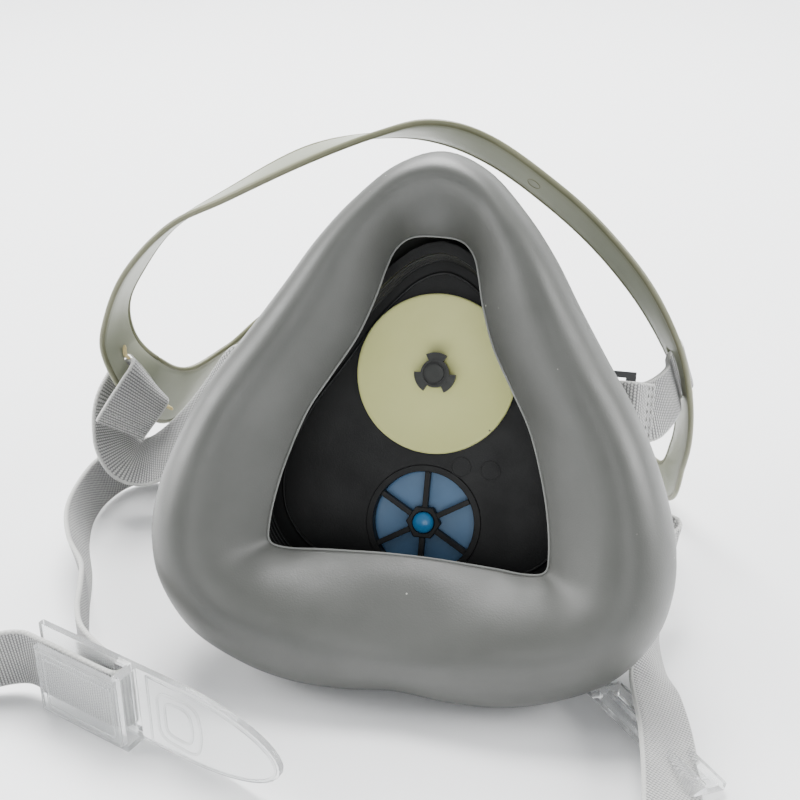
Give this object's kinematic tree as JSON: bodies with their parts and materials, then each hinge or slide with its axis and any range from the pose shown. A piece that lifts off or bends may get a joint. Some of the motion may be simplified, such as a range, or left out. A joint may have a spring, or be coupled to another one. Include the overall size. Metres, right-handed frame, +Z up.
{
  "type": "half-mask respirator",
  "caption": "Half-mask respirator with an elastomer face seal, valve body, filter cartridge with pre-filter cap, head cradle, elastic webbing and plastic buckles.",
  "frame": {"origin": "centre of the base of the box round the mask, its cartridge and its head cradle, on the table", "axes": "+X to the viewer's right when the wearer's side faces the viewer, +Y from the wearer's side towards the cartridge, +Z up"},
  "size_m": [0.1777, 0.1852, 0.1156],
  "materials": {
    "elastomer": "matte moulded elastomer",
    "black_plastic": "satin black moulding",
    "grey_rubber": "matte dark grey rubber",
    "valve_film": "pale yellow-green latex sheet",
    "blue_silicone": "satin blue silicone",
    "dark_plastic": "fine-grained dark grey moulding",
    "gasket_rubber": "matte black rubber",
    "cartridge_plastic": "fine-grained grey moulding",
    "filter_fleece": "off-white pressed fibre",
    "carbon": "packed black granules",
    "cradle_plastic": "olive-grey translucent moulding",
    "webbing": "ribbed grey woven elastic",
    "clear_plastic": "clear polished moulding"
  },
  "bodies": {
    "mask": {"face_seal": "elastomer", "front_housing": "black_plastic", "inhale_post": "grey_rubber", "exhale_seat": "black_plastic", "exhale_cover": "dark_plastic", "seat_gasket": "gasket_rubber", "harness_frame": "dark_plastic", "head_strap_left": "webbing", "head_strap_right": "webbing", "neck_strap_left": "webbing", "neck_strap_right": "webbing", "buckle_hook": "clear_plastic", "buckle_eye": "clear_plastic"},
    "inhale_flap": {"inhale_disc": "valve_film"},
    "exhale_flap": {"exhale_valve": "blue_silicone"},
    "cartridge": {"cartridge_shell": "cartridge_plastic", "inner_fleece": "filter_fleece", "carbon_bed": "carbon", "outer_fleece": "filter_fleece", "cartridge_lid": "cartridge_plastic"},
    "cap": {"prefilter_cap": "dark_plastic", "prefilter_pad": "filter_fleece"},
    "cradle": {"head_cradle": "cradle_plastic"}
  },
  "joints": [
    {"name": "inhale_lift", "type": "slide", "parent": "mask", "child": "inhale_flap", "axis": [0, -0.8829, 0.4695], "range_m": [0, 0.0012]},
    {"name": "exhale_lift", "type": "slide", "parent": "mask", "child": "exhale_flap", "axis": [0, 0.8829, -0.4695], "range_m": [0, 0.0012], "stiffness_N_per_m": 20, "springref_m": -0.001},
    {"name": "cartridge_pull", "type": "slide", "parent": "mask", "child": "cartridge", "axis": [0, 0.8829, -0.4695], "range_m": [0, 0.01]},
    {"name": "cap_pull", "type": "slide", "parent": "cartridge", "child": "cap", "axis": [0, 0.8829, -0.4695], "range_m": [0, 0.008]},
    {"name": "cradle_swing", "type": "hinge", "parent": "mask", "child": "cradle", "pos_m": [0.0164, -0.00971, 0.05042], "axis": [1, 0, 0], "range_deg": [0, 6], "deforming": ["head_strap_left", "head_strap_right"]}
  ]
}
